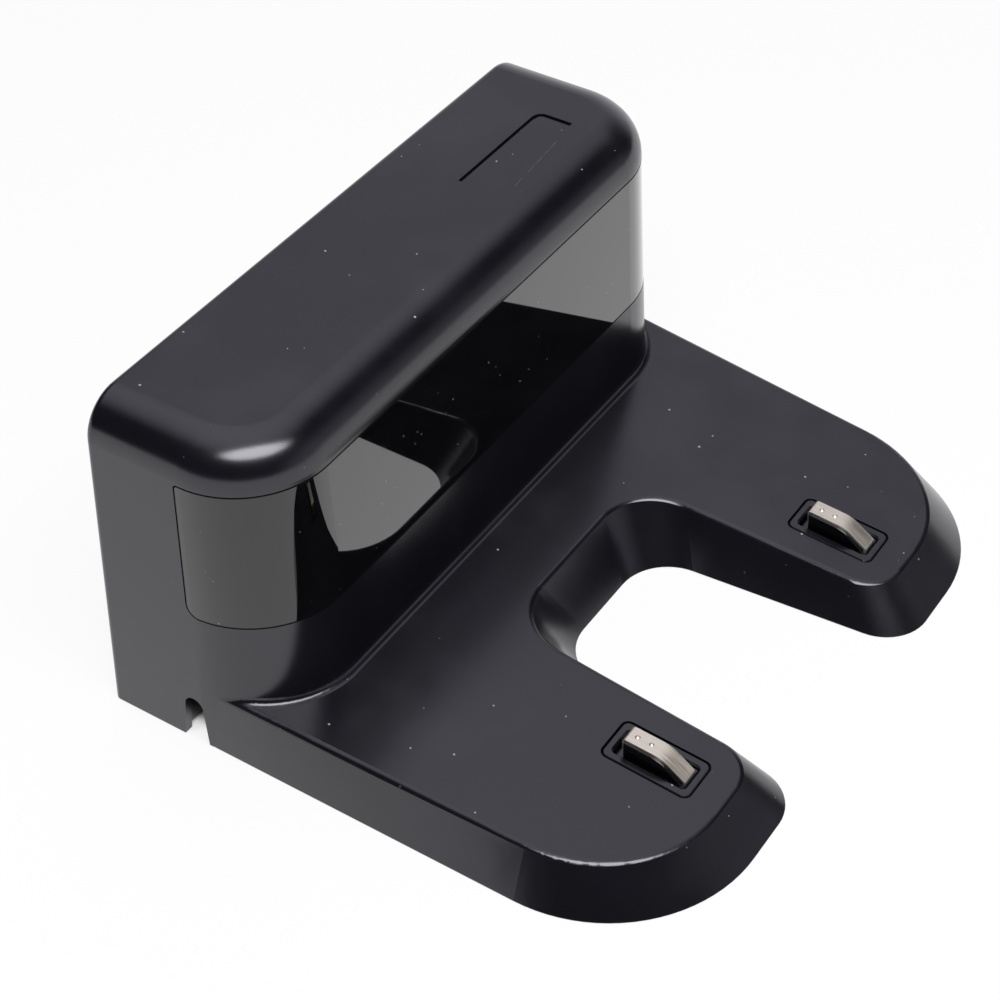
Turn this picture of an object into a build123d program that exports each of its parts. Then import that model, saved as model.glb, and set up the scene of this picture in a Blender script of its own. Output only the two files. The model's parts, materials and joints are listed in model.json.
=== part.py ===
from build123d import *
import os
from math import radians, sin, sqrt, tan

# Charging dock of a robot vacuum. Millimetres, +Z up, +X to the right seen from the front.
# The origin is on the floor, under the middle of the outline. The tower stands at the back (+Y),
# and two prongs with a round-cornered notch between them reach forward (-Y).

# Overall size
width = 151.0
depth = 130.0
height = 76.4
skirt_z = 0.2  # the rubber feet hold the skirt this far off the floor
wall = 2.0
draft = 2.3  # degrees that the tower's front and sides lean in
rear_draft = 1.4
half_width = width / 2
front_y = -depth / 2
rear_y = depth / 2

# Tower
tower_depth = 45.9
tower_corner_r = 22.0
tower_top_r = 9.0
rear_edge_r = 1.6
tower_foot_r = 1.5
tower_front_y = rear_y - tower_depth

# Deck, a plane that falls towards the front
deck_z = 12.7
deck_slope = 0.078
deck_edge_r = 1.3
deck_taper = 3.8  # degrees that each deck side runs in towards the front
base_step = 0.1  # how far the skirt's sides stand in from the tower's
skirt_run = 8.2  # how far the front skirt spreads out from deck to floor
deck_kink_y = tower_front_y + tower_corner_r
base_half = half_width - base_step

# Corner radii in plan, at the floor and at the deck
outer_r = (33.0, 27.5)
tip_r = (10.2, 8.4)
notch_r = (11.5, 12.8)

# Notch between the prongs, at the floor and at the deck: how far its back edge is from the tower,
# and half its width at the back and at the front
notch_to_tower = (24.9, 17.3)
notch_half_back = (18.6, 24.9)
notch_half_front = (22.9, 27.15)
notch_back_y = (tower_front_y - notch_to_tower[0], tower_front_y - notch_to_tower[1])

# Gloss window round the tower
window_top_drop = 9.4  # from the roof down to the window
window_z0 = 34.5
window_side = 1.4  # how far it runs straight along each side
window_t = 2.0
window_low_r = 3.0
window_top_r = 1.0
seam = 0.3
ledge = 4.0  # rim behind the window that it is glued to
window_z1 = height - window_top_drop
window_end_y = tower_front_y + tower_corner_r + window_side

# L-shaped light guide in the roof
mark_inset_x = 22.4
mark_inset_y = 16.9
mark_long = 29.7
mark_short = 8.1
mark_w = 1.1
mark_r = 1.8
mark_sink = 0.5
guide_gap = 0.1
guide_flange = 1.5  # how far the flange under the roof is wider than the bar on each side
guide_flange_t = 1.2
guide_leg_r = 1.5
guide_leg_x = 6.0  # from the bar's left end to the leg
mark_x1 = half_width - mark_inset_x
mark_x0 = mark_x1 - mark_long
mark_y0 = tower_front_y + mark_inset_y
mark_y1 = mark_y0 + mark_short

# Base plate
plate_sink = 0.8
plate_t = 1.8
plate_gap = 0.2

# Charging contacts
contact_side = 15.25  # from the notch's edge to a contact's middle
contact_back = 24.35  # from the front edge to a contact's middle
slot_w = 6.3
slot_l = 16.1
slot_r = 0.8
slot_edge = 0.35
holder_rim_w = 1.8  # the holder beside its slot
holder_rim_l = 1.55  # the holder before and behind its slot
holder_r = 1.4
holder_edge = 0.2
holder_gap = 0.4
holder_flange = 2.1
holder_flange_t = 1.2
pocket_rim = 0.8
run_gap = 0.3
travel = 2.4
stop_t = 0.6
guide_drop = 0.6  # the plunger's guide block ends this far under the deck
plunger_side_gap = 0.6  # between the plunger's ramped top and the slot's sides
plunger_edge_r = 0.25
contact_rise = 3.5  # the strip's flat top above the deck
strip_t = 0.5
strip_inset = 0.575  # between the strip's edge and the plunger's side
strip_back_gap = 1.6  # from the slot's back end to the strip
strip_front_gap = 0.45
strip_front_rise = 0.2
strip_flat_l = 8.6
strip_bend_r = 7.0
strip_back_r = 0.7
strip_nose_r = 0.9
strip_back_tab = 2.6
strip_front_tab = 1.1
strip_seat_gap = 0.02
dimple_r = 0.7
dimple_sink = 0.434  # depth of each dimple's ball under the strip's top
dimple_steps = (2.3, 5.4)  # from the strip's back edge
terminal_t = 0.3
terminal_r = 2.6
terminal_tail_w = 2.4
terminal_tail_l = 4.0
spring_r = 1.7
spring_wire_r = 0.2
spring_turns = 6
spring_set = 2.05  # the spring's axis behind the contact's middle
spring_seat_drop = 2.2  # the spring's upper seat under the strip
spring_gap = 0.2
spring_post_gap = 0.3
lead_r = 0.6
lead_bend = 1.6
contact_x = notch_half_front[0] + contact_side
contact_y = front_y + contact_back
holder_w = slot_w + 2 * holder_rim_w
holder_l = slot_l + 2 * holder_rim_l
plunger_w = slot_w - 2 * plunger_side_gap
strip_w = plunger_w - 2 * strip_inset
strip_back_y = contact_y + slot_l / 2 - strip_back_gap
strip_bend_y = strip_back_y - strip_flat_l
strip_front_y = contact_y - slot_l / 2 + strip_front_gap
spring_y = contact_y + spring_set

# Stack under each contact, from the base plate up
plate_z0 = skirt_z + plate_sink
plate_z1 = plate_z0 + plate_t
terminal_top = plate_z1 + terminal_t
stop_z0 = terminal_top + run_gap + travel
stop_z1 = stop_z0 + stop_t
step_z = stop_z1 + run_gap

# Inlet for the cord, and the bay it opens into
inlet_w = 18.6
inlet_h = 10.7
inlet_l = 16.0
inlet_depth = 12.0
inlet_set_y = 12.5  # from the tower's front to the inlet's middle
inlet_wall_t = 1.2
inlet_mouth_h = 6.8
pin_r = 1.2
pin_apart = 8.6
pin_room = 2.8  # between a pin and the mouth round it
pin_inset = 2.2
pin_tail = 2.0
pin_nose_r = 0.7
mains_lead_r = 0.9
bay_inset_x = 20.5
bay_inset_front = 4.9
bay_inset_rear = 4.8
bay_z = 15.5
bay_t = 1.8
bay_r = 3.0
bay_x1 = half_width - bay_inset_x
bay_x0 = -bay_x1
bay_y0 = tower_front_y + bay_inset_front
bay_y1 = rear_y - bay_inset_rear
bay_top = bay_z + bay_t
inlet_y = tower_front_y + inlet_set_y
inlet_face_x = bay_x1 - inlet_l - pin_tail
inlet_wall_y = inlet_y + inlet_w / 2 + guide_gap + inlet_wall_t

# Cord notch in each side, and the cable way behind it
cable_inset = 21.8  # from the rear to the notch's middle
cable_w = 6.2
cable_h = 11.5
cable_top_r = 2.2
cable_neck = 1.02  # half the notch's width at its shoulders, in radii of its top
cable_depth = 8.0  # deep enough to cut through the wall
way_w = 7.0
way_z = 12.8
wrap_x = -18.0
wrap_l = 34.0
wrap_w = 9.0
cable_y = rear_y - cable_inset

# Feet
foot_r = 5.0
foot_sink = 0.6
foot_gap = 0.15
foot_edge_r = 0.3
foot_x = half_width - 9.0
foot_rear_y = rear_y - 11.5
foot_front_x = half_width - 29.5
foot_front_y = front_y + 10.0

# Screws of the base plate, with their bosses
screw_r = 1.45
screw_l = 5.4
head_r = 2.8
head_t = 1.8
head_sink = 0.2
head_gap = 0.3
screw_gap = 0.1
thread_gap = 0.05
hole_spare = 0.6
boss_r = 3.5
collar_r = 4.4
collar_h = 1.8
corner_boss_z = 26.0
prong_screw_x = (contact_x + holder_w / 2 + holder_flange + base_half) / 2 - 2.0
screw_spots = [
    (prong_screw_x, contact_y + 4.65),
    (contact_x + 11.85, tower_front_y - 19.1),
    (half_width - 10.0, tower_front_y + 11.9),
]

# Power board on the bay's roof, with what stands on it
board_t = 1.6
board_inset_x = 19.5
board_inset_front = 11.3
board_inset_rear = 5.0
board_corner_r = 1.0
post_h = 3.0
post_r = 2.6
board_screw_r = 1.2
board_head_r = 2.3
board_head_t = 1.5
board_screw_l = 3.6
board_hole_gap = 0.15
lead_out = 3.2  # from the board's edge out to the leads that climb beside it
lead_in = 2.0  # from the board's edge in to where a lead is soldered
lead_lift = 4.0
board_x = half_width - board_inset_x
board_y0 = tower_front_y + board_inset_front
board_y1 = rear_y - board_inset_rear
board_z0 = bay_top + post_h
board_z1 = board_z0 + board_t
board_spots = [
    (6.0 - board_x, board_y0 + 5.1),
    (inlet_face_x - 5.0, board_y0 + 5.1),
    (6.0 - board_x, board_y1 - 3.5),
    (board_x - 6.0, board_y1 - 3.5),
]

# Beacon board behind the window, with its lamps
ir_inset_x = 37.5
ir_set_y = 10.9  # from the tower's front to the board's face
ir_lift = 4.1  # above the power board
ir_over = 3.0  # above the window's top edge
ir_screw_inset = 5.0
ir_screw_z = 4.0
ir_post_r = 3.0
emitter_r = 2.5
emitter_x = (-12.0, 0.0, 12.0)
hood_margin = 8.0  # from the outer lamps' axes and from their height to the hood's faces
hood_r = 1.5
hood_gap = 0.4
hood_bore = 5.2
hood_slit_w = 2.0
hood_slit_h = 4.0
lamp_r = 1.5
lamp_body = 2.4
lamp_collar = 0.45
lamp_collar_t = 1.0
ir_board_x = half_width - ir_inset_x
ir_board_y = tower_front_y + ir_set_y
ir_board_z0 = board_z1 + ir_lift
ir_board_z1 = window_z1 + ir_over
emitter_z = (window_z0 + window_z1) / 2
ir_spots = [
    (side * (ir_board_x - ir_screw_inset), z)
    for z in (ir_board_z0 + ir_screw_z, ir_board_z1 - ir_screw_z)
    for side in (-1, 1)
]

# Transformer and capacitors, in the middle of the room behind the beacon board
room_y = (ir_board_y + board_t + rear_y - wall) / 2
core_x = -20.0
core_w = 22.0
core_t = 6.0
core_h = 20.0
core_leg = 5.0
core_window = 5.5
core_yoke = 3.0
winding_w = 15.6
winding_d = 17.0
winding_r = 2.0
winding_gap = 0.1
bulk_r = 6.25
bulk_h = 20.0
bulk_x = mark_x0 - 7.4
bulk_y = room_y + 1.7
output_r = 4.0
output_h = 12.0
output_x = board_x - 14.0
output_y = room_y + 3.7
can_edge_r = 0.6
can_groove_z = 2.4
can_groove_r = 0.8
can_groove_out = 0.35  # the groove ring's radius beyond the can's
can_rim = 1.2
can_sink = 0.4

# Wires between the boards
harness_r = 1.2
harness_bend = 2.4
harness_x = (10.0 - board_x, 16.0 - ir_board_x)
harness_rise = 8.0

big = 400.0


def deck_at(y):
    """Height of the deck's surface at y."""
    return deck_z + deck_slope * y


def lean_at(z):
    """How far the tower's front and sides have leaned in at height z."""
    return (z - skirt_z) * tan(radians(draft))


def block(x0, x1, y0, y1, z0, z1):
    """Box between two corners."""
    middle = Pos((x0 + x1) / 2, (y0 + y1) / 2, (z0 + z1) / 2)
    return middle * Box(x1 - x0, y1 - y0, z1 - z0)


def block_round(x, y, w, l, z0, z1):
    """Box w wide and l long, centred on x and y."""
    return block(x - w / 2, x + w / 2, y - l / 2, y + l / 2, z0, z1)


def soften(body, r):
    """The body with its upright edges rounded."""
    return fillet(body.edges().filter_by(Axis.Z), r)


def rod(x, y, z0, z1, r):
    """Upright cylinder."""
    return Pos(x, y, (z0 + z1) / 2) * Cylinder(r, z1 - z0)


def rod_y(x, z, y0, y1, r):
    """Cylinder along Y."""
    return Pos(x, (y0 + y1) / 2, z) * Rot(90, 0, 0) * Cylinder(r, y1 - y0)


def rod_x(y, z, x0, x1, r):
    """Cylinder along X."""
    return Pos((x0 + x1) / 2, y, z) * Rot(0, 90, 0) * Cylinder(r, x1 - x0)


def tube(points, r, bend):
    """Round lead along straight runs joined by tangent arcs."""
    path = FilletPolyline(*points, radius=bend)
    return sweep(Plane(origin=path @ 0, z_dir=path % 0) * Circle(r), path=path)


def rounded_outline(corners):
    """Face inside (x, y, radius) corners, with a tangent arc at each rounded one."""
    points = [Vector(x, y) for x, y, r in corners]
    radii = [r for x, y, r in corners]
    count = len(points)
    ends = []
    arcs = []
    for i in range(count):
        back = (points[i - 1] - points[i]).normalized()
        ahead = (points[(i + 1) % count] - points[i]).normalized()
        half = radians(back.get_angle(ahead)) / 2
        reach = radii[i] / tan(half)
        start = points[i] + back * reach
        ends.append((start, points[i] + ahead * reach))
        if radii[i] > 0:
            middle = points[i] + (back + ahead).normalized() * (radii[i] / sin(half) - radii[i])
            arcs.append(ThreePointArc(start, middle, ends[i][1]))
    lines = [Line(ends[i - 1][1], ends[i][0]) for i in range(count)]
    return make_face(lines + arcs)


def mirrored(right_half):
    """Corners of the right half, followed by their mirror images."""
    return right_half + [(-x, y, r) for x, y, r in reversed(right_half)]


def leaning_wall(foot, top, rise, t):
    """Foot and top of a leaning wall's surface, moved t square to it into the part.

    Both are measured outwards, and the new top is t lower than the old one.
    """
    lean = (foot - top) / rise
    shift = t * sqrt(1 + lean**2)
    return foot - shift, foot - lean * (rise - t) - shift


def base_body(t, back_y):
    """Skirt and deck as a solid block, t inside the outer surface, from the floor edge up."""
    deck_front_y = front_y + skirt_run

    def side_top(y):
        if y < deck_kink_y:
            return side_top(deck_kink_y) - (deck_kink_y - y) * tan(radians(deck_taper))
        return base_half - lean_at(deck_at(y))

    def surface(foot, top, y):
        return leaning_wall(foot, top, deck_at(y) - skirt_z, t)

    front = surface(-front_y, -deck_front_y, deck_front_y)
    side_front = surface(base_half, side_top(deck_front_y), deck_front_y)
    side_kink = surface(base_half, side_top(deck_kink_y), deck_kink_y)
    side_back = surface(base_half, side_top(back_y), back_y)
    notch_back = surface(-notch_back_y[0], -notch_back_y[1], notch_back_y[1])
    half_back = surface(-notch_half_back[0], -notch_half_back[1], notch_back_y[1])
    half_front = surface(-notch_half_front[0], -notch_half_front[1], deck_front_y)
    outlines = []
    for level in (0, 1):
        prong = side_front[level] + half_front[level]
        corner_r = min(outer_r[level], prong - tip_r[level] - 1)
        inner_r = min(notch_r[level], -half_back[level] - 1)
        half = [
            (-half_back[level], -notch_back[level], inner_r + t),
            (-half_front[level], -front[level], tip_r[level] - t),
            (side_front[level], -front[level], corner_r - t),
        ]
        if back_y > deck_kink_y:
            half.append((side_kink[level], deck_kink_y, 0))
        half.append((side_back[level], back_y, 0))
        outlines.append(mirrored(half))
    stretch = sqrt(1 + deck_slope**2)
    on_deck = [(x, y * stretch, r) for x, y, r in outlines[1]]
    foot = Pos(0, 0, skirt_z) * rounded_outline(outlines[0])
    top = deck_plane(t) * rounded_outline(on_deck)
    return loft([foot, top], ruled=True)


def deck_plane(drop):
    """The deck's plane, moved down by drop."""
    return Plane(origin=(0, 0, deck_z - drop), x_dir=(1, 0, 0), z_dir=(0, -deck_slope, 1))


def above_deck(drop):
    """Everything above the deck's plane moved down by drop."""
    return deck_plane(drop) * Pos(0, 0, big / 2) * Box(big, big, big)


def tower_body(t):
    """Tower as a solid block, t inside the outer surface, running down to the floor edge."""
    half = half_width - t
    near = tower_front_y + t
    far = rear_y + tower_corner_r
    corner_r = tower_corner_r - t
    plan = rounded_outline([(half, far, 0), (-half, far, 0), (-half, near, corner_r), (half, near, corner_r)])
    body = extrude(Pos(0, 0, skirt_z) * plan, height - t - skirt_z, taper=draft)
    roof = body.faces().sort_by(Axis.Z)[-1]
    rim = roof.edges().sort_by(Axis.Y)[:-1]
    body = fillet(rim, tower_top_r - t)
    behind = Pos(0, rear_y - t, skirt_z) * Rot(rear_draft, 0, 0) * block(-big, big, 0, big, -big, big)
    return body - behind


def window_band(shrink, y_end):
    """Space of the window's band round the tower, seen from above and from the side."""
    z0 = window_z0 + shrink
    z1 = window_z1 - shrink
    band = block(-big, big, -big, y_end - shrink, z0, z1)
    for place, r in ((0, window_low_r), (-1, window_top_r)):
        ends = band.edges().filter_by(Axis.X).filter_by(lambda e: e.center().Y > y_end - shrink - 0.01)
        band = fillet(ends.sort_by(Axis.Z)[place], r - shrink)
    return band


def cable_notch():
    """Arched way for the cord, right across the part; its sides lean in and its top is round."""
    half = cable_w / 2
    neck = cable_top_r * cable_neck
    shoulder_z = cable_h - cable_top_r
    plan = make_face([
        Line((-half, 0), (half, 0)),
        Line((half, 0), (neck, shoulder_z)),
        ThreePointArc((neck, shoulder_z), (0, cable_h), (-neck, shoulder_z)),
        Line((-neck, shoulder_z), (-half, 0)),
    ])
    side = Plane(origin=(-width, cable_y, 0), x_dir=(0, 1, 0), z_dir=(1, 0, 0))
    return extrude(side * plan, 2 * width)


def light_guide_bar(w, z0, z1):
    """L-shaped bar of the light guide, w wide, between two heights."""
    h = w / 2
    r_out = mark_r + h
    r_in = max(mark_r - h, guide_gap)
    corners = [
        (mark_x0, mark_y1 - h, 0),
        (mark_x1 - h, mark_y1 - h, r_in),
        (mark_x1 - h, mark_y0, 0),
        (mark_x1 + h, mark_y0, 0),
        (mark_x1 + h, mark_y1 + h, r_out),
        (mark_x0, mark_y1 + h, 0),
    ]
    return extrude(Pos(0, 0, z0) * rounded_outline(corners), z1 - z0)


def exterior():
    """Outer form of the housing: skirt, deck and tower in one, with its rounded edges."""
    base = base_body(0, rear_y - 5)
    deck = base.faces().filter_by(lambda f: f.normal_at().Z > 0.9)[0]
    base = fillet(deck.edges().sort_by(Axis.Y)[:-1], deck_edge_r)
    tower = tower_body(0)
    back = tower.faces().filter_by(lambda f: f.normal_at().Y > 0.9)[0]
    tower = fillet(back.edges().sort_by(Axis.Z)[1:], rear_edge_r)
    body = tower + base
    foot_line = body.edges().filter_by(Axis.X).filter_by(
        lambda e: abs(e.center().Y - tower_front_y - lean_at(deck_at(tower_front_y))) < 0.2
    )
    return fillet(foot_line, tower_foot_r)


def housing_boss(x, y, top):
    """Screw boss from the base plate's collar up to top."""
    return rod(x, y, plate_z1 + collar_h, top, boss_r)


def main_housing():
    """One moulding: tower shell, deck and skirt, with its bosses and openings."""
    body = exterior()
    rim_zone = block(-big, big, -big, window_end_y + ledge, window_z0 - ledge, window_z1 + ledge)
    body -= tower_body(wall) - rim_zone
    body -= tower_body(wall + ledge / 2)
    body -= base_body(wall, deck_kink_y)
    body -= block(-big, big, -big, window_end_y - ledge, window_z0 + ledge, window_z1 - ledge)
    inner_half = half_width - cable_depth
    body -= cable_notch() - block(-inner_half, inner_half, -big, big, -big, big)
    body -= light_guide_bar(mark_w, height - 2 * wall, height + 1)
    for side in (-1, 1):
        hole = block_round(
            side * contact_x, contact_y, holder_w + 2 * holder_gap, holder_l + 2 * holder_gap, plate_z1, big
        )
        body -= soften(hole, holder_r + holder_gap) & block(-big, big, front_y, tower_front_y, 0, big)
    skin = exterior_skin()
    for spot_x, spot_y in screw_spots:
        for side in (-1, 1):
            boss = housing_boss(side * spot_x, spot_y, corner_boss_z)
            if spot_y > tower_front_y:
                boss += corner_rib(side, spot_x, spot_y)
            body += boss & skin
            hole_z = plate_z0 + head_t + head_sink + screw_l + hole_spare
            body -= rod(side * spot_x, spot_y, 0, hole_z, screw_r + thread_gap)
    for spot_x, spot_z in ir_spots:
        body += rod_y(spot_x, spot_z, tower_front_y, ir_board_y, ir_post_r) & skin
        hole_y = ir_board_y + board_t - board_screw_l
        body -= rod_y(spot_x, spot_z, hole_y, ir_board_y, board_screw_r + thread_gap)
    return body - (window_band(0, window_end_y) - tower_body(window_t + guide_gap))


def exterior_skin():
    """Space inside the outer surface by half a wall, which keeps inner features from showing."""
    return tower_body(wall / 2) + base_body(wall / 2, deck_kink_y)


def corner_rib(side, x, y):
    """Rib from a corner boss out to the tower's front corner."""
    reach = tower_corner_r / 2
    foot_z = plate_z1 + collar_h
    rib = Box(reach, wall, corner_boss_z - foot_z)
    turn = -45 if side > 0 else 225
    return Pos(side * x, y, (corner_boss_z + foot_z) / 2) * Rot(0, 0, turn) * Pos(reach / 2, 0, 0) * rib


def front_window():
    """Gloss pane that follows the tower's front and both corners."""
    ring = tower_body(0) - tower_body(window_t)
    return ring & window_band(seam, window_end_y)


def indicator_light_guide():
    """L-shaped light guide: bar in the roof's slot, flange under the roof, leg down to its lamp."""
    under = height - wall
    bar = light_guide_bar(mark_w - 2 * guide_gap, under - guide_flange_t, height - mark_sink)
    flange = light_guide_bar(mark_w + 2 * guide_flange, under - guide_flange_t, under)
    lamp_top = board_z1 + lamp_body + lamp_r
    leg = rod(mark_x0 + guide_leg_x, mark_y1, lamp_top + run_gap, under - guide_flange_t, guide_leg_r)
    return bar + flange + leg


def base_plate():
    """Cover that closes the underside, with the cord bay, cable ways, posts and collars."""
    inside = tower_body(wall + plate_gap)
    envelope = base_body(wall + plate_gap, deck_kink_y) + inside
    body = envelope & block(-big, big, -big, big, plate_z0, plate_z1)
    raised, bay = bay_blocks()
    body += raised & inside
    body -= bay
    post = extrude(SlotOverall(wrap_l, wrap_w), bay_z - plate_z0)
    body += Pos(wrap_x, cable_y, plate_z0) * post
    nose_w = inlet_w + 2 * guide_gap
    nose_z = plate_z1 + inlet_h + guide_gap
    body -= block_round(inlet_face_x, inlet_y, 2 * bay_t, nose_w, plate_z1, nose_z)
    for x, y in board_spots:
        body += rod(x, y, bay_top, board_z0, post_r)
        body -= rod(x, y, board_z1 - board_screw_l, board_z0, board_screw_r + thread_gap)
    for spot_x, spot_y in screw_spots:
        for side in (-1, 1):
            x = side * spot_x
            body += rod(x, spot_y, plate_z0, plate_z1 + collar_h, collar_r)
            body -= rod(x, spot_y, 0, plate_z0 + head_t + head_sink, head_r + head_gap)
            body -= rod(x, spot_y, 0, big, screw_r + screw_gap)
    for x, y in foot_places():
        body -= rod(x, y, 0, plate_z0 + foot_sink, foot_r + foot_gap)
    for side in (-1, 1):
        post_top = terminal_top + spring_r
        spring_post_r = spring_r - spring_wire_r - spring_post_gap
        body += rod(side * contact_x, spring_y, plate_z1, post_top, spring_post_r)
    return body


def bay_blocks():
    """Outer block and inner space of the cord bay, its wing beside the inlet and its cable ways."""
    main_x1 = inlet_face_x + bay_t
    wing_y0 = inlet_wall_y - inlet_wall_t
    raised = block(bay_x0 - bay_t, main_x1, bay_y0 - bay_t, bay_y1 + bay_t, plate_z0, bay_top)
    raised += block(main_x1 - 1, bay_x1 + bay_t, wing_y0, bay_y1 + bay_t, plate_z0, bay_top)
    bay = soften(block(bay_x0, inlet_face_x, bay_y0, bay_y1, -1, bay_z), bay_r)
    bay += soften(block(inlet_face_x - 2 * bay_r, bay_x1, inlet_wall_y, bay_y1, -1, bay_z), bay_r)
    way_y0 = cable_y - way_w / 2
    way_y1 = cable_y + way_w / 2
    ways = ((-half_width, bay_x0, -half_width), (bay_x1, half_width, bay_x1 - bay_t))
    for x0, x1, roof_x0 in ways:
        raised += block(roof_x0, x1, way_y0 - bay_t, way_y1 + bay_t, plate_z0, way_z + bay_t)
        bay += block(x0, x1, way_y0, way_y1, -1, way_z)
    bay += block(bay_x0 - bay_r, bay_x0 + bay_r, way_y0, way_y1, -1, way_z)
    bay += block(bay_x1 - bay_r, bay_x1, inlet_wall_y, way_y1, -1, way_z)
    return raised, bay


def foot_places():
    """Centres of the four feet in plan, left before right, front before rear."""
    front = [(-foot_front_x, foot_front_y), (foot_front_x, foot_front_y)]
    rear = [(-foot_x, foot_rear_y), (foot_x, foot_rear_y)]
    return front + rear


def foot(x, y):
    """Rubber pad in its recess, standing on the floor."""
    pad = rod(x, y, 0, plate_z0 + foot_sink, foot_r)
    return fillet(pad.edges().sort_by(Axis.Z)[0], foot_edge_r)


def screw(x, y, head_z, length, shank_r, cap_r, cap_t):
    """Upright screw whose head is under head_z, with a cross recess in the head."""
    head = rod(x, y, head_z - cap_t, head_z, cap_r)
    body = head + rod(x, y, head_z, head_z + length, shank_r)
    arm_l = cap_r * 1.2
    arm_w = cap_r * 0.28
    slot = Box(arm_l, arm_w, cap_t) + Box(arm_w, arm_l, cap_t)
    return body - Pos(x, y, head_z - cap_t) * slot


def base_screws():
    """Six screws that hold the base plate to the housing, heads sunk in the collars."""
    head_z = plate_z0 + head_t + head_sink
    screws = []
    for spot_x, spot_y in screw_spots:
        for side in (-1, 1):
            screws.append(screw(side * spot_x, spot_y, head_z, screw_l, screw_r, head_r, head_t))
    return Compound(children=screws)


def board_screws():
    """Four screws of the power board, heads up, and four of the beacon board, heads back."""
    upright = screw(0, 0, 0, board_screw_l, board_screw_r, board_head_r, board_head_t)
    screws = []
    for x, y in board_spots:
        screws.append(Pos(x, y, board_z1) * Rot(180, 0, 0) * upright)
    for x, z in ir_spots:
        screws.append(Pos(x, ir_board_y + board_t, z) * Rot(90, 0, 0) * upright)
    return Compound(children=screws)


def contact_holder(x):
    """Frame of one contact: flush in the deck, a flange under it, and the plunger's guide inside."""
    body = soften(block_round(x, contact_y, holder_w, holder_l, plate_z1, big), holder_r)
    body -= above_deck(0)
    top = body.faces().sort_by(Axis.Z)[-1]
    body = chamfer(top.edges(), holder_edge)
    reach = 2 * holder_flange
    flange = block_round(x, contact_y, holder_w + reach, holder_l + reach, 0, big)
    flange -= above_deck(wall)
    flange &= above_deck(wall + holder_flange_t)
    body += flange
    body -= soften(block_round(x, contact_y, slot_w, slot_l, 0, big), slot_r)
    top = body.faces().filter_by(lambda f: f.normal_at().Z > 0.9).sort_by(Axis.Z)[-1]
    body = chamfer(top.inner_wires()[0].edges(), slot_edge)
    body -= block_round(x, contact_y, slot_w + 2 * pocket_rim, slot_l + 2 * pocket_rim, 0, step_z)
    lead_top = terminal_top + 2 * lead_r + run_gap
    end_y = contact_y + holder_l
    return body - block(x - terminal_r, x + terminal_r, contact_y, end_y, 0, lead_top)


def strip_line():
    """Places of the contact strip's outer surface at its back, its bend and its front."""
    back = Vector(strip_back_y, deck_at(strip_back_y) + contact_rise)
    bend = Vector(strip_bend_y, deck_at(strip_bend_y) + contact_rise)
    front = Vector(strip_front_y, deck_at(strip_front_y) + strip_front_rise)
    return back, bend, front


def side_plane(x):
    """Plane across the part at x, with its first axis along Y and its second up."""
    return Plane(origin=(x, 0, 0), x_dir=(0, 1, 0), z_dir=(1, 0, 0))


def contact_plunger(x):
    """Black slider that carries the strip: stop flange, guide block and the ramped top."""
    back, bend, front = strip_line()
    drop = strip_t
    edge_r = plunger_edge_r
    guide_z = deck_at(strip_front_y) - guide_drop
    y_back = back.X - drop
    y_front = front.X + drop
    profile = rounded_outline([
        (y_back, stop_z1, 0),
        (y_front, stop_z1, 0),
        (y_front, front.Y - 1.3 * drop, edge_r),
        (bend.X, bend.Y - drop, strip_bend_r - drop),
        (y_back, back.Y - drop, edge_r),
    ])
    top = extrude(side_plane(x - plunger_w / 2) * profile, plunger_w)
    sides = [e for e in top.edges() if abs(e.center().X - x) > plunger_w / 2 - 0.01]
    raised = [e for e in sides if e.center().Z > guide_z and abs((e % 0.5).Z) < 0.9]
    top = fillet(raised, edge_r)
    w = slot_w - 2 * run_gap
    l = slot_l - 2 * run_gap
    guide = soften(block_round(x, contact_y, w, l, stop_z1, guide_z), slot_r - run_gap)
    stop = block_round(x, contact_y, w + 2 * pocket_rim, l + 2 * pocket_rim, stop_z0, stop_z1)
    body = top + guide + stop
    body -= rod(x, spring_y, 0, spring_top() + spring_gap, spring_r + spring_wire_r + spring_gap)
    return body - strip_body(x, strip_w + strip_t / 5, strip_seat_gap)


def spring_top():
    """Top of the spring, at rest."""
    return deck_at(spring_y) + contact_rise - strip_t - spring_seat_drop


def strip_body(x, w, grow):
    """Bent strip of width w: a tab down the back, the flat top, the ramp and a tab at the front."""
    back, bend, front = strip_line()
    outer = [
        Vector(back.X, back.Y - strip_back_tab),
        back,
        bend,
        front,
        Vector(front.X, front.Y - strip_front_tab),
    ]
    path = FilletPolyline(*[side_plane(x - w / 2).from_local_coords(p) for p in outer],
                          radius=[strip_back_r, strip_bend_r, strip_nose_r])
    line = Wire(path.edges())
    inner = line.offset_2d(strip_t + grow, side=Side.RIGHT, closed=True)
    return extrude(Face(inner), w, dir=(1, 0, 0))


def contact_strip(x):
    """Nickel strip over the plunger, with two pressed dimples on its flat."""
    body = strip_body(x, strip_w, 0)
    outside = above_deck(strip_t / 2 - contact_rise)
    for step in dimple_steps:
        y = strip_back_y - step
        body += Pos(x, y, deck_at(y) + contact_rise - dimple_sink) * Sphere(dimple_r) & outside
    return body


def contact_spring(x):
    """Coil spring between the terminal and the plunger."""
    low = terminal_top + spring_wire_r
    coil_h = spring_top() - spring_wire_r - low
    path = Pos(x, spring_y, low) * Helix(coil_h / spring_turns, coil_h, spring_r)
    return sweep(Plane(origin=path @ 0, z_dir=path % 0) * Circle(spring_wire_r), path=path)


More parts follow.
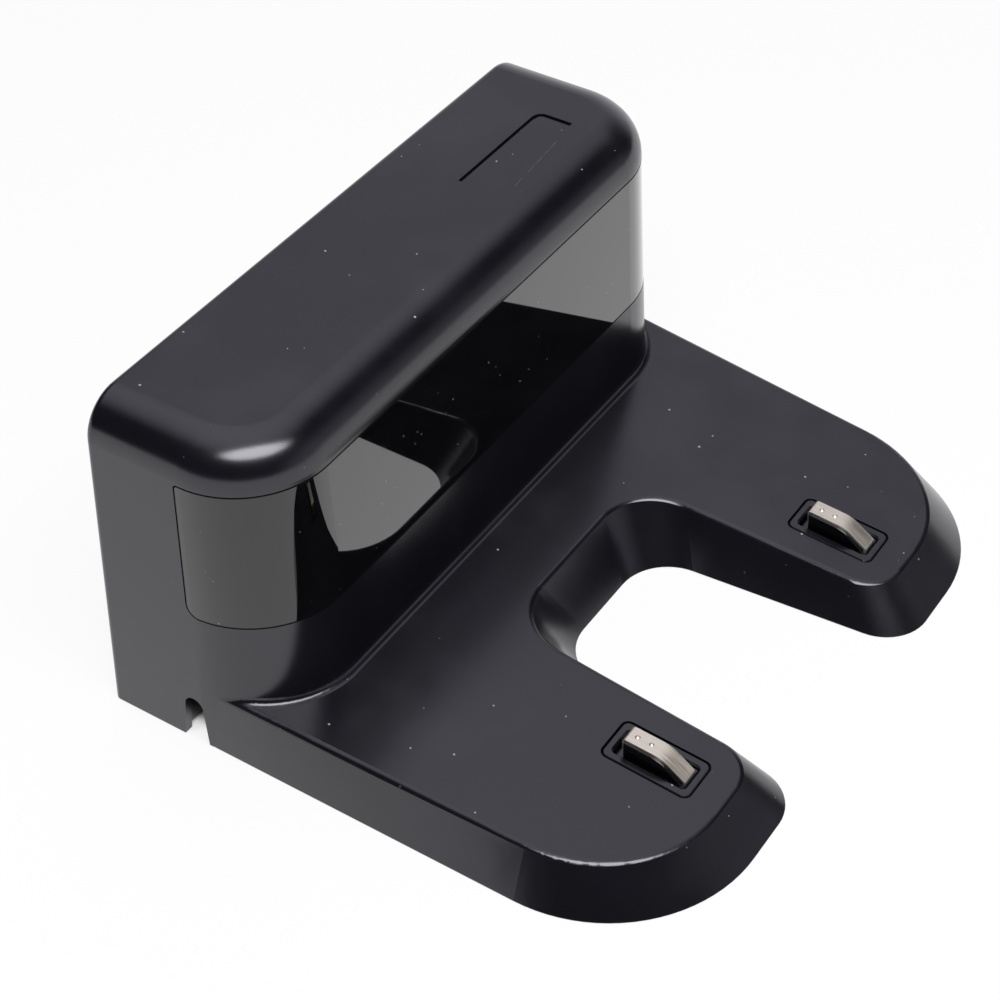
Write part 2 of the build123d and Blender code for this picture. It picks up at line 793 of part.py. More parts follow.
def contact_terminal(x):
    """Brass ring under the spring, with the tail that the lead is soldered to."""
    half = terminal_tail_w / 2
    tail_end = contact_y + holder_l / 2 + terminal_tail_l
    body = rod(x, spring_y, plate_z1, terminal_top, terminal_r)
    body += block(x - half, x + half, spring_y, tail_end, plate_z1, terminal_top)
    return body - rod(x, spring_y, 0, big, spring_r - spring_wire_r - spring_post_gap / 2)


def contact_lead(side):
    """Lead from one contact's terminal back under the deck and up to the power board."""
    x = side * contact_x
    out_x = side * (board_x + lead_out)
    end_x = side * (board_x - lead_in)
    low = terminal_top + lead_r + strip_seat_gap
    high = board_z1 + lead_lift
    start_y = contact_y + holder_l / 2 + 1
    turn_y = (notch_back_y[0] + tower_front_y) / 2
    points = [
        (x, start_y, low),
        (x, turn_y, low),
        (out_x, tower_front_y, low),
        (out_x, inlet_y, low),
        (out_x, inlet_y, high),
        (end_x, inlet_y, high),
        (end_x, inlet_y, board_z1),
    ]
    return tube(points, lead_r, lead_bend)


def power_inlet():
    """Two-pin appliance inlet: its nose fills the bay's wall and its mouth faces the bay."""
    half_w = inlet_w / 2
    z0 = plate_z1
    z1 = plate_z1 + inlet_h
    back_x = inlet_face_x + inlet_l
    body = block(inlet_face_x, back_x, inlet_y - half_w, inlet_y + half_w, z0, z1)
    z = (z0 + z1) / 2
    lobe = pin_r + pin_room
    mouth = inlet_face_x + inlet_depth
    for side in (-1, 1):
        y = inlet_y + side * pin_apart / 2
        body -= rod_x(y, z, inlet_face_x - 1, mouth, lobe)
        body -= rod_x(y, z, mouth - 1, back_x + 1, pin_r + strip_seat_gap)
    half_h = inlet_mouth_h / 2
    half_y = pin_apart / 2
    return body - block(inlet_face_x - 1, mouth, inlet_y - half_y, inlet_y + half_y, z - half_h, z + half_h)


def inlet_pins():
    """The inlet's two pins, with their tails behind it."""
    z = plate_z1 + inlet_h / 2
    pins = []
    for side in (-1, 1):
        y = inlet_y + side * pin_apart / 2
        pin = rod_x(y, z, inlet_face_x + pin_inset, inlet_face_x + inlet_l + pin_tail, pin_r)
        pins.append(fillet(pin.edges().sort_by(Axis.X)[0], pin_nose_r))
    return Compound(children=pins)


def mains_lead(side):
    """Lead from one inlet pin up to the power board's edge."""
    y = inlet_y + side * pin_apart / 2
    z = plate_z1 + inlet_h / 2
    start_x = inlet_face_x + inlet_l + pin_tail
    out_x = board_x + lead_out
    end_x = board_x - lead_in
    high = board_z1 + lead_lift
    points = [
        (start_x, y, z),
        (out_x, y, z),
        (out_x, y, high),
        (end_x, y, high),
        (end_x, y, board_z1),
    ]
    return tube(points, mains_lead_r, lead_bend)


def power_board():
    """Supply board on the cord bay's roof, screwed to four posts."""
    body = soften(block(-board_x, board_x, board_y0, board_y1, board_z0, board_z1), board_corner_r)
    for x, y in board_spots:
        body -= rod(x, y, 0, big, board_screw_r + board_hole_gap)
    return body


def transformer_core():
    """Ferrite core: a frame with a middle leg that the winding sits on."""
    core = block_round(0, 0, core_w, core_t, 0, core_h)
    for side in (-1, 1):
        x = side * (core_leg + core_window) / 2
        core -= block_round(x, 0, core_window, 2 * core_t, core_yoke, core_h - core_yoke)
    return Pos(core_x, room_y, board_z1) * core


def transformer_winding():
    """Wound bobbin round the core's middle leg."""
    gap = winding_gap
    body = block_round(0, 0, winding_w, winding_d, core_yoke + gap, core_h - core_yoke - gap)
    body = soften(body, winding_r)
    body -= block_round(0, 0, core_leg + 2 * gap, core_t + 2 * gap, 0, core_h)
    return Pos(core_x, room_y, board_z1) * body


def can_capacitor(x, y, r, h):
    """Upright can with a rolled groove near its foot and a sunk top."""
    can = rod(x, y, board_z1, board_z1 + h, r)
    can = fillet(can.edges().sort_by(Axis.Z)[-1], can_edge_r)
    can -= Pos(x, y, board_z1 + can_groove_z) * Torus(r + can_groove_out, can_groove_r)
    return can - rod(x, y, board_z1 + h - can_sink, board_z1 + h + 1, r - can_rim)


def led(radius, body_h):
    """Round lamp with its collar, standing on the origin."""
    body = rod(0, 0, 0, lamp_collar_t, radius + lamp_collar) + rod(0, 0, 0, body_h, radius)
    return body + Pos(0, 0, body_h) * Sphere(radius)


def ir_board():
    """Upright board behind the window, screwed to four posts of the housing."""
    back = ir_board_y + board_t
    body = block(-ir_board_x, ir_board_x, ir_board_y, back, ir_board_z0, ir_board_z1)
    for x, z in ir_spots:
        body -= rod_y(x, z, ir_board_y - 1, back + 1, board_screw_r + board_hole_gap)
    return body


def ir_emitter(x):
    """Infrared lamp that faces the window."""
    return Pos(x, ir_board_y, emitter_z) * Rot(90, 0, 0) * led(emitter_r, emitter_r + hood_gap / 4)


def emitter_hood():
    """Black block that narrows the beacons' beams, with a bore and a slit for each lamp."""
    front = tower_front_y + lean_at(emitter_z) + window_t + hood_gap
    half = emitter_x[-1] + hood_margin
    body = block(-half, half, front, ir_board_y, emitter_z - hood_margin, emitter_z + hood_margin)
    body = fillet(body.edges().filter_by(Axis.Y), hood_r)
    slit_back = ir_board_y - hood_bore + 1
    collar_y = ir_board_y - lamp_collar_t - guide_gap
    half_w = hood_slit_w / 2
    half_h = hood_slit_h / 2
    for x in emitter_x:
        body -= rod_y(x, emitter_z, ir_board_y - hood_bore, ir_board_y, emitter_r + guide_gap)
        body -= rod_y(x, emitter_z, collar_y, ir_board_y, emitter_r + lamp_collar + guide_gap)
        body -= block(x - half_w, x + half_w, front - 1, slit_back, emitter_z - half_h, emitter_z + half_h)
    return body


def board_harness():
    """Bundle of wires from the power board up to the beacon board."""
    back = ir_board_y + board_t
    from_x, to_x = harness_x
    from_y = room_y - 2.3
    over_y = room_y - 5.3
    over_z = board_z1 + core_h + 2.1
    points = [
        (from_x, from_y, board_z1),
        (from_x, from_y, board_z1 + harness_rise),
        ((from_x + to_x) / 2, over_y, over_z - 4),
        (to_x, over_y, over_z),
        (to_x, back, over_z),
    ]
    return tube(points, harness_r, harness_bend)


os.makedirs("parts", exist_ok=True)
parts = {
    "main_housing": main_housing(),
    "front_window": front_window(),
    "indicator_light_guide": indicator_light_guide(),
    "base_plate": base_plate(),
    "base_screws": base_screws(),
    "board_screws": board_screws(),
    "power_inlet": power_inlet(),
    "inlet_pins": inlet_pins(),
    "power_board": power_board(),
    "transformer_core": transformer_core(),
    "transformer_winding": transformer_winding(),
    "bulk_capacitor": can_capacitor(bulk_x, bulk_y, bulk_r, bulk_h),
    "output_capacitor": can_capacitor(output_x, output_y, output_r, output_h),
    "indicator_lamp": Pos(mark_x0 + guide_leg_x, mark_y1, board_z1) * led(lamp_r, lamp_body),
    "ir_board": ir_board(),
    "emitter_hood": emitter_hood(),
    "board_harness": board_harness(),
}
for name, x in zip(("left", "middle", "right"), emitter_x):
    parts["ir_emitter_" + name] = ir_emitter(x)
for name, side in (("left", -1), ("right", 1)):
    x = side * contact_x
    parts["contact_holder_" + name] = contact_holder(x)
    parts["contact_plunger_" + name] = contact_plunger(x)
    parts["contact_strip_" + name] = contact_strip(x)
    parts["contact_spring_" + name] = contact_spring(x)
    parts["contact_terminal_" + name] = contact_terminal(x)
    parts["contact_lead_" + name] = contact_lead(side)
for name, side in (("front", -1), ("rear", 1)):
    parts["mains_lead_" + name] = mains_lead(side)
for name, (x, y) in zip(("front_left", "front_right", "rear_left", "rear_right"), foot_places()):
    parts["foot_" + name] = foot(x, y)
for name, shape in parts.items():
    export_step(shape, "parts/" + name + ".step")
    print(name, round(shape.volume, 1))
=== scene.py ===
# %% [markdown]
# # Dressing a robot vacuum's charging dock
#
# The dock's shape was built in CAD and packed. This file adds what a camera sees: satin black plastic,
# a gloss black window, worn nickel contacts, dust, and a pale studio floor. Every length is in metres,
# in the CAD part's own frame: +Z up, the tower at the back (+Y), the two prongs at the front (-Y).

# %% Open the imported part
import bpy
import json
from math import pi, radians
from mathutils import Matrix, Vector


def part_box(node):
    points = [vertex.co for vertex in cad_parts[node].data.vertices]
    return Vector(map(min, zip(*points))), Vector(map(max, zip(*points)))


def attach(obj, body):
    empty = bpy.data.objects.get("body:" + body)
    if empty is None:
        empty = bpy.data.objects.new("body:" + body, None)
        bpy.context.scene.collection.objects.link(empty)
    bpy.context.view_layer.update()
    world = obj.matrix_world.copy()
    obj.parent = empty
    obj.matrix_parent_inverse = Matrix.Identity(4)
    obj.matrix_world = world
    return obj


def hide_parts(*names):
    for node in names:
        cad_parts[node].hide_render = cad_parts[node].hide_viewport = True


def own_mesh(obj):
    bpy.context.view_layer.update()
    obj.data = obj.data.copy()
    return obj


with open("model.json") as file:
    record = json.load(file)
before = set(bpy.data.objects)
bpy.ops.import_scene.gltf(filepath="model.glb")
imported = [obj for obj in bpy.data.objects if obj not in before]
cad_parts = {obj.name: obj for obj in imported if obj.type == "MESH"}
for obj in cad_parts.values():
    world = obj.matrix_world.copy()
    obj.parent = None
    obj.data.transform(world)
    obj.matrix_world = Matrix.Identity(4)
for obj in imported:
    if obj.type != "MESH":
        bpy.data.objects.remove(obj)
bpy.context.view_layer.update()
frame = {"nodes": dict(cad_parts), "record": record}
nodes = frame["nodes"]
scene = bpy.context.scene
scene.view_settings.view_transform = "Standard"
print("nodes:", len(nodes))

# %% [markdown]
# ## Camera
#
# The photograph was taken from the front left, looking down. The camera's place, turn and lens below
# were worked out by matching the dock's straight edges. A lens is set by its focal length in pixels of a
# 1000 pixel frame, because that is what the match gives, and is turned into millimetres here.

# %% Camera
camera_spot = Vector((-0.29702, -0.18077, 0.34448))
camera_turn = radians(-55.93)
camera_down = radians(42.32)
camera_roll = radians(-1.17)
focal_pixels = 2299.5
frame_pixels = 1000
sensor_millimetres = 36

camera_data = bpy.data.cameras.new("camera")
camera_data.sensor_width = sensor_millimetres
camera_data.lens = sensor_millimetres * focal_pixels / frame_pixels
camera_data.clip_start = 0.01
camera = bpy.data.objects.new("camera", camera_data)
scene.collection.objects.link(camera)
turn = Matrix.Rotation(camera_turn, 4, "Z") @ Matrix.Rotation(pi / 2 - camera_down, 4, "X")
camera.matrix_world = Matrix.Translation(camera_spot) @ turn @ Matrix.Rotation(camera_roll, 4, "Z")
scene.camera = camera
print("lens:", round(camera_data.lens, 1), "mm")

# %% [markdown]
# ## Node helpers
#
# A material is a small network of nodes. Written out link by link it would be long, so a few helpers
# keep it readable. Each takes plain numbers and other nodes' outputs alike: a number is set on the
# socket, and an output is joined to it.


# %% Nodes and arithmetic
def fill_socket(tree, socket, value):
    """Join another node's output to the socket, or set the socket to a plain value."""
    if isinstance(value, bpy.types.NodeSocket):
        tree.links.new(value, socket)
    else:
        socket.default_value = value


def add_node(tree, kind, **sockets):
    """A new node, with its input sockets filled by name."""
    node = tree.nodes.new(kind)
    for name, value in sockets.items():
        fill_socket(tree, node.inputs[name.replace("_", " ")], value)
    return node


def math_node(tree, operation, a, b=0.0):
    """Result of one piece of arithmetic on one or two numbers."""
    node = tree.nodes.new("ShaderNodeMath")
    node.operation = operation
    fill_socket(tree, node.inputs[0], a)
    fill_socket(tree, node.inputs[1], b)
    return node.outputs["Value"]


def vector_node(tree, operation, a, b):
    """Both outputs, Vector and Value, of one piece of arithmetic on vectors."""
    node = tree.nodes.new("ShaderNodeVectorMath")
    node.operation = operation
    fill_socket(tree, node.inputs[0], a)
    fill_socket(tree, node.inputs["Scale" if operation == "SCALE" else 1], b)
    return node.outputs


print("helpers: nodes and arithmetic")


# %% Ramps and colours
def ramp(tree, value, low, high, out_low=0.0, out_high=1.0):
    """Smooth step of a value, from out_low under low to out_high over high."""
    sockets = {"From Min": low, "From Max": high, "To Min": out_low, "To Max": out_high}
    node = add_node(tree, "ShaderNodeMapRange", Value=value, **sockets)
    node.interpolation_type = "SMOOTHSTEP"
    return node.outputs["Result"]


def mix_colour(tree, share, a, b):
    """Blend from colour a to colour b, by a share from 0 to 1."""
    node = tree.nodes.new("ShaderNodeMix")
    node.data_type = "RGBA"
    # A Mix node has a set of sockets for each kind of data: inputs 0, 6 and 7 and output 2 are colour's.
    for index, value in ((0, share), (6, a), (7, b)):
        fill_socket(tree, node.inputs[index], value)
    return node.outputs[2]


def grey(value, blue=1.0):
    """Grey colour, a little cool where blue is over 1."""
    return (value, value, value * blue, 1.0)


def shade(colour, factor):
    """The colour made darker or brighter, but no brighter than white."""
    return tuple(min(channel * factor, 1.0) for channel in colour[:3]) + (1.0,)


print("helpers: ramps and colours")

# %% [markdown]
# ## Shared effects
#
# Four effects show on more than one finish, so each is a node group: the fine grain that a tool leaves
# on moulded plastic, dust that settles on what faces up, edges rubbed paler, and the hairlines of
# drawn or wiped metal and gloss. A group gives out only numbers that vary over the surface, and each
# material decides what to do with them.


# %% Start a group
def start_group(name, inputs, outputs):
    """Node group with float inputs (with their defaults) and named outputs."""
    group = bpy.data.node_groups.new(name, "ShaderNodeTree")
    for label, default in inputs:
        socket = group.interface.new_socket(label, in_out="INPUT", socket_type="NodeSocketFloat")
        socket.default_value = default
    for label in outputs:
        group.interface.new_socket(label, in_out="OUTPUT", socket_type="NodeSocketFloat")
    source = group.nodes.new("NodeGroupInput")
    result = group.nodes.new("NodeGroupOutput")
    return group, source.outputs, result.inputs


def surface_place(tree):
    """Where a point of the surface is on its own piece, in metres, so that a pattern moves with it."""
    return add_node(tree, "ShaderNodeTexCoord").outputs["Object"]


def noise(tree, place, **settings):
    """Cloudy value from 0 to 1, mostly 0.3 to 0.7, with as many clouds to a metre as its Scale."""
    return add_node(tree, "ShaderNodeTexNoise", Vector=place, **settings).outputs["Fac"]


print("helpers: groups")

# %% [markdown]
# ### Moulded grain
#
# The steel that a shell is moulded in is sparked or blasted, so the plastic has a grain of about a fifth
# of a millimetre. Modelled grain would need millions of faces. A noise gives the same look as a Height,
# which each material hands to a Bump node. Mottle is far broader: it lets the colour and the roughness
# drift a little, as they do on a real moulding.

# %% Moulded grain
grain_group, given, out = start_group(
    "moulded grain", [("Grain per Metre", 5200.0), ("Mottle per Metre", 90.0)], ["Height", "Mottle"]
)
place = surface_place(grain_group)
fine = noise(grain_group, place, Scale=given["Grain per Metre"], Detail=2.0)
broad = noise(grain_group, place, Scale=given["Mottle per Metre"], Detail=3.0)
grain_group.links.new(fine, out["Height"])
grain_group.links.new(broad, out["Mottle"])
print("group:", grain_group.name)

# %% [markdown]
# ### Settled dust
#
# Black plastic shows dust before anything else. Most of it lies on what faces up, as single specks and
# as a thin film. Specks could be scattered as tiny objects, but a Voronoi texture costs nothing: each of
# its cells has a random colour, whose red decides whether the cell has a speck at all, and whose green
# decides how large it is. Cling is the share of the dust that sticks to steep faces too.

# %% Settled dust
barely_up = 0.5
fully_up = 0.95
clouds_per_metre = 45.0

dust_group, given, out = start_group(
    "settled dust",
    [("Specks per Metre", 260.0), ("Speck Size", 0.07), ("Share", 0.1), ("Cling", 0.1)],
    ["Specks", "Film"],
)
place = surface_place(dust_group)
cells = add_node(dust_group, "ShaderNodeTexVoronoi", Vector=place, Scale=given["Specks per Metre"])
chosen = add_node(dust_group, "ShaderNodeSeparateColor", Color=cells.outputs["Color"]).outputs
size = math_node(dust_group, "MULTIPLY", chosen["Green"], given["Speck Size"])
near = math_node(dust_group, "LESS_THAN", cells.outputs["Distance"], size)
kept = math_node(dust_group, "LESS_THAN", chosen["Red"], given["Share"])
facing = add_node(dust_group, "ShaderNodeNewGeometry").outputs["Normal"]
up = add_node(dust_group, "ShaderNodeSeparateXYZ", Vector=facing).outputs["Z"]
lying = math_node(dust_group, "MAXIMUM", ramp(dust_group, up, barely_up, fully_up), given["Cling"])
specks = math_node(dust_group, "MULTIPLY", math_node(dust_group, "MULTIPLY", near, kept), lying)
clouds = noise(dust_group, place, Scale=clouds_per_metre, Detail=4.0)
film = math_node(dust_group, "MULTIPLY", ramp(dust_group, clouds, low=0.45, high=0.75), lying)
dust_group.links.new(specks, out["Specks"])
dust_group.links.new(film, out["Film"])
print("group:", dust_group.name)

# %% [markdown]
# ### Rubbed edges
#
# Hands and cloths reach a moulding's edges first and rub them paler. A Bevel node gives the normal that
# the surface would have if its edges were rounded by Reach. Where that normal turns away from the true
# one, there is an edge. Edge is the whole band, and Mask has a noise through it, because wear is patchy.

# %% Rubbed edges
flat_agreement = 0.999
edge_agreement = 0.9

edge_group, given, out = start_group(
    "rubbed edges", [("Reach", 0.0004), ("Patches per Metre", 300.0)], ["Mask", "Edge"]
)
rounded = add_node(edge_group, "ShaderNodeBevel", Radius=given["Reach"]).outputs["Normal"]
true_normal = add_node(edge_group, "ShaderNodeNewGeometry").outputs["Normal"]
agreement = vector_node(edge_group, "DOT_PRODUCT", rounded, true_normal)["Value"]
sharp = ramp(edge_group, agreement, flat_agreement, edge_agreement)
patches = noise(edge_group, surface_place(edge_group), Scale=given["Patches per Metre"])
rubbed = math_node(edge_group, "MULTIPLY", sharp, ramp(edge_group, patches, low=0.35, high=0.65))
edge_group.links.new(rubbed, out["Mask"])
edge_group.links.new(sharp, out["Edge"])
print("group:", edge_group.name)

# %% [markdown]
# ### Hairlines
#
# Drawn metal and wiped gloss carry fine lines that run one way. They are too many to draw, but a noise
# that is squeezed across the lines and stretched along them looks the same. Height goes to a Bump node
# or varies the roughness, and Streak varies the colour.

# %% Hairlines
hairline_group, given, out = start_group(
    "hairlines", [("Across per Metre", 9000.0), ("Along per Metre", 120.0)], ["Height", "Streak"]
)
stretch = add_node(
    hairline_group, "ShaderNodeCombineXYZ",
    X=given["Across per Metre"], Y=given["Along per Metre"], Z=given["Along per Metre"],
).outputs["Vector"]
drawn = vector_node(hairline_group, "MULTIPLY", surface_place(hairline_group), stretch)["Vector"]
lines = noise(hairline_group, drawn, Scale=1.0, Detail=3.0)
hairline_group.links.new(lines, out["Height"])
hairline_group.links.new(ramp(hairline_group, lines, low=0.4, high=0.7), out["Streak"])
print("group:", hairline_group.name)

# %% [markdown]
# ## Materials
#
# Every finish below is one Principled BSDF. What is the same all over the surface, such as a metal's
# Metallic or a plastic's IOR, is set on the shader itself. What varies comes from the groups.


# %% Start a material
def start_material(name, **sockets):
    """Material with one Principled BSDF; returns the material, its tree and the shader."""
    material = bpy.data.materials.new(name)
    material.use_nodes = True
    tree = material.node_tree
    shader = tree.nodes["Principled BSDF"]
    for key, value in sockets.items():
        shader.inputs[key.replace("_", " ")].default_value = value
    return material, tree, shader


def place_group(tree, group, **values):
    """The group's outputs in a material, with the group's inputs set by name."""
    node = tree.nodes.new("ShaderNodeGroup")
    node.node_tree = group
    for label, value in values.items():
        node.inputs[label.replace("_", " ")].default_value = value
    return node.outputs


def set_bump(tree, shader, height, depth):
    """Tilt the shader's normal as a relief of this depth would, for a height from 0 to 1."""
    bump = add_node(tree, "ShaderNodeBump", Height=height, Strength=1.0, Distance=depth)
    tree.links.new(bump.outputs["Normal"], shader.inputs["Normal"])


print("helpers: materials")

# %% [markdown]
# ### A scratch in the roof
#
# One faint scratch runs along the roof, in front of the light guide. It is far too shallow to model, so
# it is a mask: how near a point of the surface is to the line between two places on the roof. A noise
# breaks the line up, because a real scratch skips.

# %% Scratch
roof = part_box("main_housing")[1].z
roof_scratch = (Vector((0.0462, 0.0352, roof)), Vector((0.0279, 0.0337, roof)))
scratch_width = 0.00013
scratch_strength = 0.1
skips_per_metre = 900.0


def scratch(tree, start, end):
    """Mask of one fine, broken scratch between two points of the surface."""
    place = surface_place(tree)
    length = (end - start).length
    heading = (end - start).normalized()
    offset = vector_node(tree, "SUBTRACT", place, start)["Vector"]
    along = vector_node(tree, "DOT_PRODUCT", offset, heading)["Value"]
    along = math_node(tree, "MINIMUM", math_node(tree, "MAXIMUM", along, 0.0), length)
    nearest = vector_node(tree, "SCALE", heading, along)["Vector"]
    away = vector_node(tree, "DISTANCE", offset, nearest)["Value"]
    line = ramp(tree, away, scratch_width * 0.3, scratch_width, out_low=scratch_strength, out_high=0.0)
    skips = ramp(tree, noise(tree, place, Scale=skips_per_metre), low=0.3, high=0.6)
    return math_node(tree, "MULTIPLY", line, skips)


print("scratch:", round((roof_scratch[1] - roof_scratch[0]).length * 1000, 1), "mm long")

# %% [markdown]
# ### Satin black plastic
#
# The housing is black ABS from a finely sparked tool. Up close it has a tight grain, and from a step
# away it reflects softly: the pale floor shows in its sides as a grey with a blurred edge. So the
# roughness is fairly low, and a bump with a very small depth breaks up the reflection. Nearly all the
# light from such a black is reflection, so the base colour is close to nothing, and the black is tuned
# with the specular instead: a level over the usual 0.5, and a slightly cool tint.

# %% Satin plastic
plastic_level = 0.75
cool_tint = (0.94, 0.93, 1.0, 1.0)
rubbed_share = 0.25
film_share = 0.02


def satin_plastic(name, tone, roughness, grain_depth, dust, scratched=None):
    """Moulded black plastic, with a scratch where its two ends are given."""
    material, tree, shader = start_material(
        name, Specular_IOR_Level=plastic_level, Specular_Tint=cool_tint, IOR=1.52
    )
    grain = place_group(tree, grain_group)
    settled = place_group(tree, dust_group, Share=dust)
    worn = place_group(tree, edge_group)
    drift = ramp(tree, grain["Mottle"], low=0.3, high=0.7)
    colour = mix_colour(tree, drift, grey(tone * 0.92, blue=1.5), grey(tone, blue=1.6))
    paler = math_node(tree, "MULTIPLY", worn["Mask"], rubbed_share)
    colour = mix_colour(tree, paler, colour, grey(tone * 3))
    filmed = math_node(tree, "MULTIPLY", settled["Film"], film_share)
    colour = mix_colour(tree, filmed, colour, grey(0.3))
    colour = mix_colour(tree, settled["Specks"], colour, grey(0.36))
    if scratched:
        colour = mix_colour(tree, scratch(tree, *scratched), colour, grey(0.5))
    tree.links.new(colour, shader.inputs["Base Color"])
    rough = ramp(tree, grain["Mottle"], 0.25, 0.75, out_low=roughness * 0.95, out_high=roughness * 1.06)
    tree.links.new(math_node(tree, "MAXIMUM", rough, settled["Specks"]), shader.inputs["Roughness"])
    set_bump(tree, shader, grain["Height"], grain_depth)
    return material


housing_black = satin_plastic(
    "housing black", tone=0.005, roughness=0.21, grain_depth=0.000004, dust=0.9, scratched=roof_scratch
)
plunger_black = satin_plastic("plunger black", tone=0.002, roughness=0.15, grain_depth=0.000001, dust=0.0)
inlet_black = satin_plastic("inlet black", tone=0.01, roughness=0.5, grain_depth=0.000006, dust=0.0)
print("plastics:", housing_black.name, plunger_black.name, inlet_black.name)

# %% [markdown]
# ### Gloss black window
#
# The window is polished acrylic, black to the eye and clear to infrared. It mirrors the floor, the deck
# and the notch. A coat over a dark base gives that mirror its full strength, a faint smear varies the
# roughness, and a few dust specks sit on it. Along its rim the pane isn't polished, so there the coat
# ends and the surface turns rough, which keeps the seam round the pane dark.


# %% Gloss black
def gloss_black(name, tone, roughness):
    """Polished black acrylic, with a matt rim."""
    material, tree, shader = start_material(
        name, Specular_IOR_Level=0.3, IOR=1.5, Coat_Weight=1.0, Coat_Roughness=0.01, Coat_IOR=1.5
    )
    smear = place_group(tree, hairline_group, Across_per_Metre=300.0, Along_per_Metre=60.0)
    settled = place_group(tree, dust_group, Specks_per_Metre=420.0, Share=0.6, Cling=1.0)
    rim = place_group(tree, edge_group, Reach=0.0003)["Edge"]
    dusty = mix_colour(tree, settled["Specks"], grey(tone, blue=1.1), grey(0.25))
    tree.links.new(dusty, shader.inputs["Base Color"])
    rough = ramp(tree, smear["Height"], 0.3, 0.8, out_low=roughness, out_high=roughness * 2.5)
    tree.links.new(math_node(tree, "MAXIMUM", rough, rim), shader.inputs["Roughness"])
    tree.links.new(math_node(tree, "SUBTRACT", 1.0, rim), shader.inputs["Coat Weight"])
    return material


window_black = gloss_black("window gloss black", tone=0.002, roughness=0.02)
guide_black = gloss_black("light guide black", tone=0.002, roughness=0.1)
print("gloss:", window_black.name, guide_black.name)

# %% [markdown]
# ### Metals
#
# The contacts are nickel-plated strip, warm and a little worn, with hairlines from the robots that
# drove over them. Screws, springs, pins and terminals use the same recipe in other tones.

# %% Metals
hairline_depth = 0.000002


def worn_metal(name, colour, roughness):
    """Metal with hairlines, brighter where its edges are rubbed."""
    material, tree, shader = start_material(name, Metallic=1.0)
    lines = place_group(tree, hairline_group)
    worn = place_group(tree, edge_group, Reach=0.00015)
    tone = mix_colour(tree, lines["Streak"], shade(colour, 0.9), colour)
    tone = mix_colour(tree, worn["Mask"], tone, shade(colour, 1.15))
    tree.links.new(tone, shader.inputs["Base Color"])
    rough = ramp(tree, lines["Height"], 0.3, 0.7, out_low=roughness * 0.8, out_high=roughness * 1.3)
    tree.links.new(rough, shader.inputs["Roughness"])
    set_bump(tree, shader, lines["Height"], hairline_depth)
    return material


nickel = worn_metal("worn nickel", (0.86, 0.79, 0.69, 1.0), roughness=0.42)
zinc = worn_metal("zinc plate", (0.55, 0.55, 0.56, 1.0), roughness=0.35)
wire_steel = worn_metal("spring wire", (0.5, 0.5, 0.5, 1.0), roughness=0.25)
brass = worn_metal("brass", (0.72, 0.53, 0.25, 1.0), roughness=0.3)
print("metals:", nickel.name, zinc.name, wire_steel.name, brass.name)

# %% [markdown]
# ### Rubber, boards and the parts on them
#
# None of these shows in the photograph, but the underside does when the dock is picked up. Each gets
# the finish that such a part has: a colour that drifts a little, and a grain as fine or as coarse as
# the real one's.


# %% Plain finishes
def plain_finish(name, colour, roughness, mottle=90.0, depth=0.000005):
    """Moulded or painted finish of any colour."""
    material, tree, shader = start_material(name)
    grain = place_group(tree, grain_group, Mottle_per_Metre=mottle)
    drift = ramp(tree, grain["Mottle"], low=0.3, high=0.7)
    tree.links.new(mix_colour(tree, drift, shade(colour, 0.75), colour), shader.inputs["Base Color"])
    rough = ramp(tree, grain["Mottle"], 0.2, 0.8, out_low=roughness * 0.9, out_high=roughness * 1.1)
    tree.links.new(rough, shader.inputs["Roughness"])
    set_bump(tree, shader, grain["Height"], depth)
    return material


foot_rubber = plain_finish("foot rubber", (0.02, 0.02, 0.02, 1.0), roughness=0.8, depth=0.00002)
board_green = plain_finish("board green", (0.02, 0.16, 0.07, 1.0), roughness=0.3, mottle=400.0)
ferrite_grey = plain_finish("ferrite grey", (0.05, 0.05, 0.055, 1.0), roughness=0.6, depth=0.00002)
tape_yellow = plain_finish("winding tape", (0.75, 0.5, 0.06, 1.0), roughness=0.35)
sleeve_black = plain_finish("capacitor sleeve", (0.012, 0.012, 0.03, 1.0), roughness=0.25)
lens_clear = plain_finish("lamp clear", (0.7, 0.72, 0.75, 1.0), roughness=0.1)
lens_dark = plain_finish("lamp tinted", (0.05, 0.045, 0.07, 1.0), roughness=0.1)
wire_sleeve = plain_finish("wire sleeve", (0.03, 0.03, 0.03, 1.0), roughness=0.4)
print("materials so far:", len(bpy.data.materials))

# %% [markdown]
# ## Finish every piece
#
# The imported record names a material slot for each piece, such as the housing's or the screws'. So the
# pieces don't need dressing one by one: a table from slot to material does all of them.

# %% Give each CAD node its finish
finish_of_slot = {
    "housing": housing_black,
    "window": window_black,
    "light_guide": guide_black,
    "screw_steel": zinc,
    "inlet_body": inlet_black,
    "terminal_brass": brass,
    "circuit_board": board_green,
    "ferrite": ferrite_grey,
    "winding_tape": tape_yellow,
    "capacitor_sleeve": sleeve_black,
    "lamp_clear": lens_clear,
    "lamp_tinted": lens_dark,
    "lead_sleeve": wire_sleeve,
    "plunger": plunger_black,
    "contact_nickel": nickel,
    "spring_steel": wire_steel,
    "foot_rubber": foot_rubber,
}
slot_of_node = {row["node"]: row["material_slot"] for row in frame["record"]["subparts"]}
for name, part in nodes.items():
    part.data.materials.clear()
    part.data.materials.append(finish_of_slot[slot_of_node[name]])
print("finished nodes:", len(nodes))
